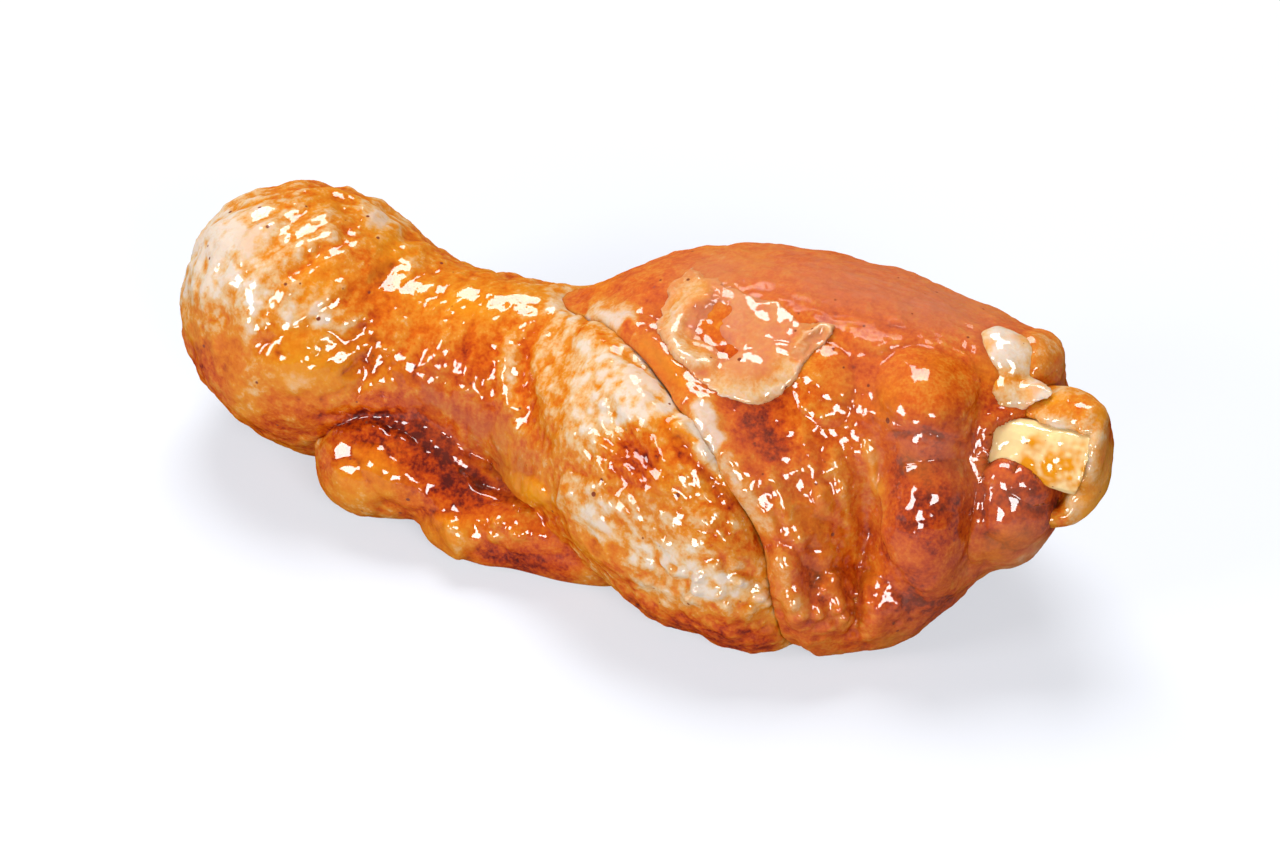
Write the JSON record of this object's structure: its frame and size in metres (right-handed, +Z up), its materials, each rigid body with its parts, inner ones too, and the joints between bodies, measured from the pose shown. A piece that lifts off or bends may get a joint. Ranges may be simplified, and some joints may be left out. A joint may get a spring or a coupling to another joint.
{
  "type": "raw chicken drumette",
  "caption": "Raw marinated chicken drumette lying on its side: skin over the elbow end and belly, bare muscle heads, a torn membrane flap and the cut bone at the shoulder.",
  "frame": {"origin": "under the middle of the piece, on the floor that it lies on", "axes": "+X along the wing bone towards the cut shoulder end, +Y towards the side turned away, +Z up"},
  "size_m": [0.0982, 0.0402, 0.0329],
  "materials": {
    "muscle": "wet translucent meat with an orange marinade",
    "skin": "wet goosebumped skin with an orange marinade over pale cream",
    "bone": "smooth damp bone, stained yellow by the marinade",
    "gristle": "glossy translucent gristle",
    "cartilage": "smooth glossy cartilage",
    "membrane": "thin wet translucent membrane"
  },
  "bodies": {
    "root": {"muscle": "muscle", "skin": "skin", "humerus": "bone", "joint_capsule": "gristle", "cartilage": "cartilage", "membrane_flap": "membrane"}
  },
  "joints": []
}
